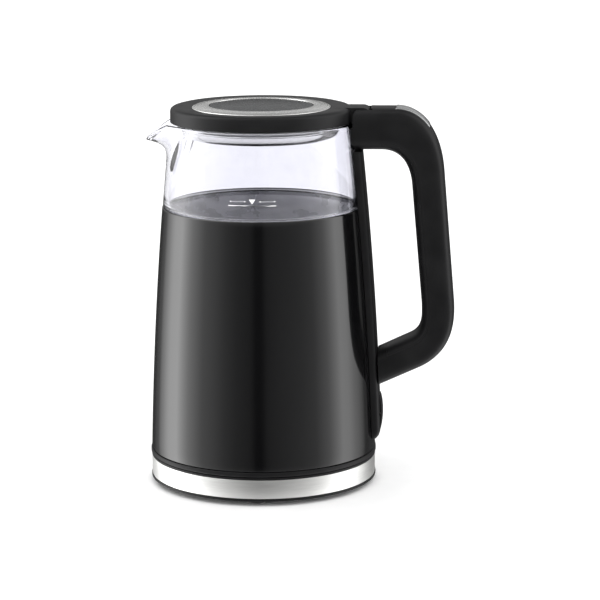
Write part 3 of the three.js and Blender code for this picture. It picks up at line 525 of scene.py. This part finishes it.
def jar_point(turn, along):
    """Radius and height on the jar's wall: 0 at the foot's outside, over the rim, to 1 at the foot's inside."""
    off = math.hypot(turn - math.pi, TIP_ROUND)
    reach = NECK_RADIUS / math.cos(SPOUT_HALF - off) if off < SPOUT_HALF else NECK_RADIUS
    beak = (reach - NECK_RADIUS) / SPOUT_REACH
    rim = GLASS_HIGH.z - SPOUT_DIP * max(0, (beak - 0.3) / 0.7)
    foot_z = GLASS_HIGH.z - SPOUT_ROOT
    foot = (body_radius(foot_z) - CLEAR, foot_z)

    def straight(share):
        z = foot_z + (GLASS_HIGH.z - MM - foot_z) * share
        return (body_radius(z) - CLEAR, z)

    low = mixed(straight(0.33), (foot[0] - 0.3 * MM, foot_z + 8 * MM), beak)
    high = mixed(straight(0.66), (foot[0] + 4 * MM, foot_z + 9.4 * MM), beak)
    lip = (reach, rim - MM - 1.4 * MM * beak)

    def inward(point, drop):
        return (point[0] - GLASS_WALL + 0.6 * MM * beak * drop, point[1] + 2.6 * MM * beak * drop)

    if along < HIDDEN_END:
        return mixed((FOOT_RADIUS, GLASS_LOW.z), (HIDDEN_RADIUS, HIDDEN_TOP), along / HIDDEN_END)
    if along < CLEAR_END:  # the step out over the jacket, then the clear wall up to the spout's root
        z = HIDDEN_TOP + (foot_z - HIDDEN_TOP) * (along - HIDDEN_END) / (CLEAR_END - HIDDEN_END)
        step = eased(share_of(z, JACKET_HIGH.z + CLEAR - 0.6 * MM, 2.2 * MM))
        return (HIDDEN_RADIUS + (body_radius(z) - CLEAR - HIDDEN_RADIUS) * step, z)
    if along < BEAK_END:
        return bezier(foot, low, high, lip, (along - CLEAR_END) / (BEAK_END - CLEAR_END))
    if along < RIM_END:  # the fire-polished rim
        around = math.pi * (along - BEAK_END) / (RIM_END - BEAK_END)
        half = GLASS_WALL / 2
        return (reach - half + half * math.cos(around), lip[1] + (rim - lip[1]) * math.sin(around))
    if along < INNER_BEAK_END:
        return bezier(inward(foot, 0), inward(low, 0.4), inward(high, 1), (reach - GLASS_WALL, lip[1]),
                      1 - (along - RIM_END) / (INNER_BEAK_END - RIM_END))
    z = foot_z + (GLASS_LOW.z - foot_z) * (along - INNER_BEAK_END) / (1 - INNER_BEAK_END)
    rise = (z - GLASS_LOW.z) / (JACKET_HIGH.z - GLASS_LOW.z)
    low_wall = FOOT_RADIUS + (HIDDEN_RADIUS - FOOT_RADIUS) * rise
    high_wall = body_radius(z) - CLEAR
    blend = eased(share_of(z, JACKET_HIGH.z - 6 * MM, 12 * MM))
    return (low_wall + (high_wall - low_wall) * blend - GLASS_WALL, z)


def crease(turn, z):
    """Depth of the two creases that run up into the spout's sides."""
    side = math.radians(28 + 8 * share_of(z, GLASS_HIGH.z - 27 * MM, 20 * MM))
    fade = math.sin(math.pi * share_of(z, GLASS_HIGH.z - CREASE_LENGTH, CREASE_LENGTH)) ** 0.7
    off = (abs(turn - math.pi) - side) / CREASE_SPREAD
    return CREASE_DEPTH * fade * math.exp(-off * off)


def jar_place(u, v):
    # Columns lie closer together round the spout.
    turn = math.pi + (2 * v - 1) * math.pi * (0.45 + 0.55 * abs(2 * v - 1) ** 1.5)
    radius, z = jar_point(turn, u)
    if HIDDEN_END < u < 0.5:
        radius -= crease(turn, z)
    return Vector((radius * math.cos(turn), radius * math.sin(turn), z))


jar = wrapped("jar_of_clear_glass", 170, 260, jar_place)
soften(jar)
finish_piece(jar, GLASS, "kettle", "clear_glass", "glass_jar")
jar.data.materials.append(SILVERING)
for face in jar.data.polygons:
    if face.center.z < JACKET_HIGH.z - SILVER_DROP:
        face.material_index = 1

# ---------------------------------------------------------------- lid
LID_TOP = LID_HIGH.z
RING_OUTER = RING_HIGH.x
RING_INNER = CAP_HIGH.x
LID_EDGE = -LID_LOW.x
LID_UNDER = SEAL_HIGH.z + 2 * CLEAR
WELL = RING_LOW.z - CLEAR  # floor of the recess that holds the ring and the cap
WELL_UNDER = WELL - 2 * MM

lid = turned("lid_of_satin_black", [
    (0, WELL_UNDER),
    (LINER_HIGH.x + CLEAR, WELL_UNDER),
    (LINER_HIGH.x + CLEAR, LID_UNDER),
    (LID_EDGE, LID_UNDER),
    (LID_EDGE, LID_TOP - 2.6 * MM),
    (LID_EDGE - 0.5 * MM, LID_TOP - 1.3 * MM),
    (LID_EDGE - 1.6 * MM, LID_TOP - 0.5 * MM),
    (LID_EDGE - 3.6 * MM, LID_TOP),
    (RING_OUTER + CLEAR, LID_TOP - 0.6 * MM),
    (RING_OUTER + CLEAR, WELL),
    (0, WELL),
])
tab = brick("lid_tab", (LID_EDGE - 5 * MM, -TAB_HALF, LID_UNDER), (HINGE.x, TAB_HALF, HINGE.z + KNUCKLE))
knuckle = hinge_bar("lid_knuckle", KNUCKLE, TAB_HALF)
combine(lid, "UNION", tab, knuckle)
combine(lid, "DIFFERENCE", hinge_bar("pin_bore", PIN_BORE, TAB_HALF + 2 * MM))
soften(lid, 0.5 * MM, angle=40)
finish_piece(lid, SATIN_BLACK, "lid", "satin_black", "lid_shell")

ring = turned("lid_ring_of_steel", [
    (RING_INNER + CLEAR, RING_LOW.z),
    (RING_OUTER, RING_LOW.z),
    (RING_OUTER, LID_TOP - 0.5 * MM),
    (RING_OUTER - 1.2 * MM, LID_TOP + 0.1 * MM),
    (RING_INNER + 1.6 * MM, RING_HIGH.z),
    (RING_INNER + CLEAR, RING_HIGH.z - 0.3 * MM),
], soft=0.25 * MM)
finish_piece(ring, LID_RING_STEEL, "lid", "steel", "lid_trim_ring")

cap_rise = CAP_HIGH.z - (RING_HIGH.z - 0.6 * MM)
cap_line = [(RING_INNER * i / 10, CAP_HIGH.z - cap_rise * (i / 10) ** 2) for i in range(10, -1, -1)]
cap = turned("lid_middle_of_smoked_plastic", [
    (0, CAP_LOW.z),
    (RING_INNER, CAP_LOW.z),
    (RING_INNER, cap_line[0][1] - 0.5 * MM),
    (RING_INNER - 0.5 * MM, cap_line[0][1]),
    *cap_line[1:],
])
finish_piece(cap, SMOKED_CAP, "lid", "smoked_cap", "lid_centre_cap")

# The drawn liner: a cup with a rounded foot and a rolled bead round its wall.
LINER_RADIUS = LINER_HIGH.x
LINER_FOOT = LINER_LOW.z
LINER_WALL = 0.8 * MM
FOOT_ROUND = 4.6 * MM
BEAD_RISE = 0.5 * MM
BEAD_START = LINER_FOOT + 5.3 * MM
BEAD_STEP = 0.3 * MM
CUP_RADIUS = LINER_RADIUS - BEAD_RISE
corner_arc = [(CUP_RADIUS - FOOT_ROUND * (1 - math.sin(a)), LINER_FOOT + FOOT_ROUND * (1 - math.cos(a)))
              for a in heights(0, math.pi / 2, 8)]
bead_arc = [(CUP_RADIUS + BEAD_RISE * math.sin(math.pi * i / 6), BEAD_START + BEAD_STEP * i) for i in range(7)]
wall_line = [*corner_arc, *bead_arc, (LINER_RADIUS - 0.3 * MM, LID_UNDER - 0.4 * MM), (LINER_RADIUS, LINER_HIGH.z)]
liner = turned("lid_liner_of_drawn_steel", [
    (0, LINER_FOOT),
    *wall_line,
    *[(radius - LINER_WALL, max(z, LINER_FOOT + LINER_WALL)) for radius, z in reversed(wall_line)],
    (0, LINER_FOOT + LINER_WALL),
])
finish_piece(liner, LINER_STEEL, "lid", "steel", "lid_liner")

seal_mid = (SEAL_LOW.z + SEAL_HIGH.z) / 2
seal = turned("lid_seal_of_silicone", [
    (LINER_RADIUS + CLEAR, SEAL_LOW.z),
    (SEAL_HIGH.x - 1.2 * MM, SEAL_LOW.z),
    (SEAL_HIGH.x - 0.6 * MM, seal_mid),
    (SEAL_HIGH.x, seal_mid + 0.2 * MM),
    (SEAL_HIGH.x, SEAL_HIGH.z),
    (LINER_RADIUS + CLEAR, SEAL_HIGH.z),
], steps=144, soft=0.3 * MM)
finish_piece(seal, SILICONE, "lid", "silicone", "lid_seal")

# ---------------------------------------------------------------- power base
MIDDLE_BOSS = 22 * MM  # the floor's lowered middle
FLOOR_UNDER = COVER_LOW.z + 1.8 * MM
FLOOR_TOP = COVER_LOW.z + 3.7 * MM
COVER_INNER = 71.4 * MM
bottom_cover = turned("base_floor_of_satin_black", [
    (0, COVER_LOW.z),
    (MIDDLE_BOSS, COVER_LOW.z),
    (MIDDLE_BOSS, FLOOR_UNDER),
    (COVER_HIGH.x, FLOOR_UNDER),
    (COVER_HIGH.x, COVER_HIGH.z),
    (COVER_INNER, COVER_HIGH.z),
    (COVER_INNER, FLOOR_TOP),
    (0, FLOOR_TOP),
], soft=0.5 * MM)
finish_piece(bottom_cover, SATIN_BLACK, "power_base", "satin_black", "base_bottom_cover")

WALL_OUTER = BAND_HIGH.x - MM
WALL_INNER = WALL_OUTER - 2.2 * MM
DECK_TOP = DECK_HIGH.z - 0.9 * MM  # the deck lies a little below its raised rim
DECK_UNDER = DECK_TOP - 2.2 * MM
DECK_BORE = 18 * MM
top_cover = turned("base_deck_of_satin_black", [
    (WALL_OUTER, DECK_LOW.z),
    (WALL_OUTER, BAND_HIGH.z + CLEAR),
    (DECK_HIGH.x, BAND_HIGH.z + CLEAR),
    (DECK_HIGH.x, DECK_HIGH.z),
    (71.2 * MM, DECK_HIGH.z),
    (70.2 * MM, DECK_TOP),
    (DECK_BORE, DECK_TOP),
    (DECK_BORE, DECK_UNDER),
    (WALL_INNER, DECK_UNDER),
    (WALL_INNER, DECK_LOW.z),
], soft=0.4 * MM)
finish_piece(top_cover, SATIN_BLACK, "power_base", "satin_black", "base_top_cover")

BAND_INNER = BAND_HIGH.x - 0.7 * MM
band = turned("base_band_of_brushed_steel", [
    (BAND_INNER, BAND_LOW.z),
    (BAND_HIGH.x, BAND_LOW.z),
    (BAND_HIGH.x, BAND_HIGH.z),
    (BAND_INNER, BAND_HIGH.z),
], soft=0.2 * MM)
finish_piece(band, BAND_STEEL, "power_base", "steel", "base_trim_band")

for number in (1, 2, 3, 4):
    low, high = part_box("base_foot_%d" % number)
    middle = (low + high) / 2
    foot = turned("base_foot_of_rubber_%d" % number, [
        (0, low.z),
        (4.6 * MM, low.z),
        (5.7 * MM, low.z + 0.6 * MM),
        (6 * MM, high.z),
        (0, high.z),
    ], steps=48, soft=0.25 * MM)
    foot.data.transform(Matrix.Translation((middle.x, middle.y, 0)))
    finish_piece(foot, RUBBER, "power_base", "rubber", "base_foot_%d" % number)

# ---------------------------------------------------------------- handle
ARM_UNDER = LID_TOP - 27.6 * MM  # underside of the upper arm where it meets the strip
LOWER_ARM = 88 * MM  # height at which the lower arm meets the strip
HOLE_TOP = body_radius(ARM_UNDER) + STRIP_PROUD + 32.6 * MM
HOLE_LOW = body_radius(LOWER_ARM) + STRIP_PROUD + 29 * MM
HOLE_LOW_Z = LOWER_ARM + 11.5 * MM
GRIP_DEPTH = 21.6 * MM
OUT_TOP = HOLE_TOP + GRIP_DEPTH
OUT_LOW = HOLE_LOW + GRIP_DEPTH
HALF_WIDTH = SHELL_HIGH.y
COVER_DEPTH = 5 * MM
COVER_FROM, COVER_TO = 0.13, 0.93  # where the grip cover starts and ends along the handle
COVER_END_GAP = 0.0003
CUTTER_HALF = 24 * MM  # half widths of cutters, past the sides of what they cut
PAST_SIDES = 40 * MM
HEAD_CUT = 30 * MM
LIMB_STEPS = (130, 56)


def off(x, z, dx=0.0, dz=0.0):
    """A point given in metres, moved by millimetres."""
    return (x + dx * MM, z + dz * MM)


# Both edges run from the head, round the two corners and back to the strip, in the same five stretches.
OUTER_EDGE = [
    (off(body_radius(LID_TOP), LID_TOP, -6), off(OUT_TOP, LID_TOP, -32)),
    (off(OUT_TOP, LID_TOP, -32), off(OUT_TOP, LID_TOP, -17), off(OUT_TOP, LID_TOP, -3, -13),
     off(OUT_TOP, ARM_UNDER, -0.5, -14)),
    (off(OUT_TOP, ARM_UNDER, -0.5, -14), off(OUT_LOW, HOLE_LOW_Z, 0, 20)),
    (off(OUT_LOW, HOLE_LOW_Z, 0, 20), off(OUT_LOW, HOLE_LOW_Z, 1, 0), off(OUT_LOW, HOLE_LOW_Z, -6, -13),
     off(OUT_LOW, HOLE_LOW_Z, -21, -21)),
    (off(OUT_LOW, HOLE_LOW_Z, -21, -21), off(body_radius(LOWER_ARM), LOWER_ARM, -6, -27.5)),
]
FINGER_EDGE = [
    (off(body_radius(ARM_UNDER), ARM_UNDER, -6), off(HOLE_TOP, ARM_UNDER, -20)),
    (off(HOLE_TOP, ARM_UNDER, -20), off(HOLE_TOP, ARM_UNDER, -9), off(HOLE_TOP, ARM_UNDER, -1.5, -7),
     off(HOLE_TOP, ARM_UNDER, 0, -23)),
    (off(HOLE_TOP, ARM_UNDER, 0, -23), off(HOLE_LOW, HOLE_LOW_Z, 0, 22)),
    (off(HOLE_LOW, HOLE_LOW_Z, 0, 22), off(HOLE_LOW, HOLE_LOW_Z, 0.7, 8), off(HOLE_LOW, HOLE_LOW_Z, -0.6, 3),
     off(HOLE_LOW, HOLE_LOW_Z, -7, -0.5)),
    (off(HOLE_LOW, HOLE_LOW_Z, -7, -0.5), off(body_radius(LOWER_ARM), LOWER_ARM, -6, -4)),
]
STRETCHES = [0, 0.14, 0.36, 0.64, 0.86, 1]


def edge_point(edge, u):
    """A point along one of the handle's edges."""
    index = max(i for i in range(5) if u >= STRETCHES[i] - 1e-9)
    share = (u - STRETCHES[index]) / (STRETCHES[index + 1] - STRETCHES[index])
    stretch = edge[index]
    return mixed(*stretch, share) if len(stretch) == 2 else bezier(*stretch, share)


def limb_place(proud=0.0):
    """A place function for the handle's round-cornered section, with its outer side raised by a height."""
    def place(u, v):
        a, b = edge_point(OUTER_EDGE, u), edge_point(FINGER_EDGE, u)
        outer, inner = Vector((a[0], 0, a[1])), Vector((b[0], 0, b[1]))
        start = outer - (inner - outer).normalized() * proud
        middle, half = (start + inner) / 2, (inner - start) / 2
        turn = 2 * math.pi * v
        return (middle + half * squarish(math.cos(turn), 4.2)
                + Vector((0, HALF_WIDTH * squarish(math.sin(turn), 3.4), 0)))
    return place


def slab_corner(v, near, far):
    """Depth and sideways place of the corner that v names, of four round a slab."""
    corner = int(round(v * 4)) % 4
    return (near if corner in (0, 1) else far), (CUTTER_HALF if corner in (1, 2) else -CUTTER_HALF)


def grip_slab(name, depth, end_gap):
    """A slab that follows the finger edge, from the finger hole to a depth in the handle."""
    def place(u, v):
        share = COVER_FROM + end_gap + (COVER_TO - COVER_FROM - 2 * end_gap) * u
        a, b = edge_point(OUTER_EDGE, share), edge_point(FINGER_EDGE, share)
        across = Vector((a[0] - b[0], 0, a[1] - b[1])).normalized()
        distance, side = slab_corner(v, -8 * MM, depth)
        return Vector((b[0], side, b[1])) + across * distance
    return wrapped(name, 80, 4, place)


def body_room(low):
    """The round space that the body takes from a height up, as a cutter."""
    high = LID_TOP + 6 * MM
    return turned("body_cutter", [
        (0, low),
        *[(body_radius(z) + CLEAR, z) for z in heights(low, high, 24)],
        (0, high),
    ], steps=96)


def strip_room():
    """The space of the strip behind the handle, as a cutter."""
    rows = heights(STRIP_LOW.z - 4 * MM, STRIP_HIGH.z, 12)

    def place(u, v):
        z = rows[int(round(u * 12))]
        x, side = slab_corner(v, 0, body_radius(z) + STRIP_PROUD + CLEAR)
        return Vector((x, side, z))
    return wrapped("strip_cutter", 12, 4, place)


HEAD_FRONT = HINGE.x - KNUCKLE
HEAD_START = HEAD_FRONT - 9 * MM
EAR_HALF = TAB_HALF + 0.6 * MM  # inner faces of the two ears that hold the pin
SWEEP = KNUCKLE + 2.1 * MM  # room in which the knuckle turns

shell = wrapped("handle_of_satin_black", *LIMB_STEPS, limb_place())
combine(
    shell, "DIFFERENCE",
    body_room(40 * MM),
    strip_room(),
    grip_slab("cover_cutter", COVER_DEPTH + 0.1 * MM, 0),
    brick("before_head", (0, -HEAD_CUT, LID_UNDER - 3 * MM), (HEAD_FRONT, HEAD_CUT, LID_TOP + 9 * MM)),
    hinge_bar("hinge_pocket", SWEEP, EAR_HALF),
    brick("front_pocket", (HEAD_START, -EAR_HALF, HINGE.z - SWEEP), (HINGE.x, EAR_HALF, LID_TOP + 5 * MM)),
)
above_ears = brick("above_ears", (HEAD_START, -HEAD_CUT, HINGE.z), (HINGE.x, HEAD_CUT, LID_TOP + 5 * MM))
combine(above_ears, "DIFFERENCE", hinge_bar("ear_round", KNUCKLE, PAST_SIDES))
combine(shell, "DIFFERENCE", above_ears)

BUTTON_MIDDLE = Vector((OUT_TOP - 21 * MM, 0, LID_TOP - 6 * MM))
BUTTON_TILT = math.atan2(12.5, 20)


def tilted_brick(name, length, width, low, high):
    """A block square to the handle's upper corner."""
    piece = brick(name, (-length / 2, -width / 2, low), (length / 2, width / 2, high))
    piece.data.transform(Matrix.Translation(BUTTON_MIDDLE) @ Matrix.Rotation(BUTTON_TILT, 4, "Y"))
    return piece


combine(shell, "DIFFERENCE", tilted_brick("button_cutter", 25.6 * MM, 18.6 * MM, -5.8 * MM, 12 * MM))
soften(shell)
finish_piece(shell, SATIN_BLACK, "kettle", "satin_black", "handle_shell")

button = wrapped("thumb_button_of_silver", *LIMB_STEPS, limb_place(0.5 * MM))
combine(button, "INTERSECT", tilted_brick("button_keeper", 25 * MM, 18 * MM, -2.6 * MM, 12 * MM))
soften(button, 0.4 * MM, angle=50)
finish_piece(button, BUTTON_SILVER, "button", "steel", "release_button")

cover = wrapped("grip_cover_of_satin_black", *LIMB_STEPS, limb_place())
combine(cover, "INTERSECT", grip_slab("cover_keeper", COVER_DEPTH, COVER_END_GAP))
combine(cover, "DIFFERENCE", strip_room())
soften(cover)
finish_piece(cover, SATIN_BLACK, "kettle", "satin_black", "handle_grip_cover")


def strip_place(u, v):
    """The strip's round-cornered section, with its foot drawn in."""
    z = STRIP_LOW.z + (STRIP_HIGH.z - STRIP_LOW.z) * u
    foot = max(0, 1 - (z - STRIP_LOW.z) / (6 * MM))
    face = body_radius(z) + STRIP_PROUD - 2.6 * MM * foot ** 2.5
    back = body_radius(z) - 8 * MM
    turn = 2 * math.pi * v
    middle, half = (face + back) / 2, (face - back) / 2
    width = HALF_WIDTH - 1.5 * MM * foot ** 3
    return Vector((middle + half * squarish(math.cos(turn), 5), width * squarish(math.sin(turn), 7), z))


strip = wrapped("strip_of_satin_black", 90, 72, strip_place)
paddle_room = brick("paddle_cutter", (PADDLE_LOW.x - 2 * MM, PADDLE_LOW.y - CLEAR, PADDLE_LOW.z - CLEAR),
                    (PADDLE_HIGH.x + 8 * MM, PADDLE_HIGH.y + CLEAR, PADDLE_HIGH.z + CLEAR))
combine(strip, "DIFFERENCE", body_room(10 * MM), paddle_room)
soften(strip)
finish_piece(strip, SATIN_BLACK, "kettle", "satin_black", "handle_strip")


def paddle_place(u, v):
    """The power lever: a soft-cornered bar that thins towards both ends."""
    z = PADDLE_LOW.z + (PADDLE_HIGH.z - PADDLE_LOW.z) * u
    rise = 1 - abs(2 * u - 1) ** 2.4
    face = PADDLE_HIGH.x - 1.6 * MM * (1 - rise)
    turn = 2 * math.pi * v
    middle, half = (face + PADDLE_LOW.x) / 2, (face - PADDLE_LOW.x) / 2
    width = PADDLE_HIGH.y - 1.2 * MM * max(0, abs(2 * u - 1) - 0.85) / 0.15
    return Vector((middle + half * squarish(math.cos(turn), 4), width * squarish(math.sin(turn), 6), z))


paddle = wrapped("power_lever_of_gloss_black", 40, 48, paddle_place)
soften(paddle, 0.4 * MM, angle=60)
finish_piece(paddle, SATIN_BLACK, "rocker", "gloss_black", "power_switch")

# ---------------------------------------------------------------- fill mark
INK_FRONT = 0.06 * MM
INK_BACK = 0.01 * MM


def ink_on_glass(name, corners):
    """A thin print on the glass's outside, from (sideways, height) corners as seen from the front."""
    def ring(height):
        return [Vector((x, -math.sqrt((body_radius(z) - CLEAR + height) ** 2 - x * x), z)) for x, z in corners]

    count = len(corners)
    faces = [list(range(count)), list(range(2 * count - 1, count - 1, -1))]
    faces += [[i, i + count, (i + 1) % count + count, (i + 1) % count] for i in range(count)]
    piece = bpy.data.objects.new(name, bpy.data.meshes.new(name))
    piece.data.from_pydata(ring(INK_FRONT) + ring(INK_BACK), [], faces)
    bpy.context.scene.collection.objects.link(piece)
    only(piece)
    to_edit()
    bpy.ops.mesh.normals_make_consistent(inside=False)
    to_object()
    finish_piece(piece, INK, "kettle", "ceramic")


def ink_box(name, start, end, low, high, steps):
    """A printed line that bends with the glass, its places in millimetres from the fill height."""
    xs = [(start + (end - start) * i / steps) * MM for i in range(steps + 1)]
    ink_on_glass(name, [*[(x, FILL_HEIGHT + low * MM) for x in xs],
                        *[(x, FILL_HEIGHT + high * MM) for x in reversed(xs)]])


ink_box("fill_line_of_ink", -16.5, 14, 0, 0.55, 24)
ink_on_glass("fill_arrow_of_ink", [
    (-1.2 * MM, FILL_HEIGHT + 1.3 * MM), (0.9 * MM, FILL_HEIGHT + 4.4 * MM), (-3.3 * MM, FILL_HEIGHT + 4.4 * MM),
])
for number, start in enumerate([-15.5, 3.5], 1):
    ink_box("fill_dash_of_ink_%d" % number, start, start + 10, 2.6, 3.3, 1)

# ---------------------------------------------------------------- finishes of the pieces that stay
FINISH = {
    "satin_black": SATIN_BLACK, "gloss_black": GLOSS_BLACK, "steel": SCREW_STEEL, "brass": BRASS,
    "rubber": RUBBER, "silicone": SILICONE, "aluminium": ALUMINIUM, "ceramic": CERAMIC,
    "clear_glass": GLASS, "smoked_cap": SMOKED_CAP,
}
# The plate is spun, and the lever's pin is blackened.
SPECIAL = {"heating_plate": PLATE_STEEL, "switch_pin": SATIN_BLACK}
for row in frame["record"]["subparts"]:
    finish = SPECIAL.get(row["node"], FINISH[row["material_slot"]])
    for socket in frame["nodes"][row["node"]].material_slots:
        socket.link = "OBJECT"
        socket.material = finish
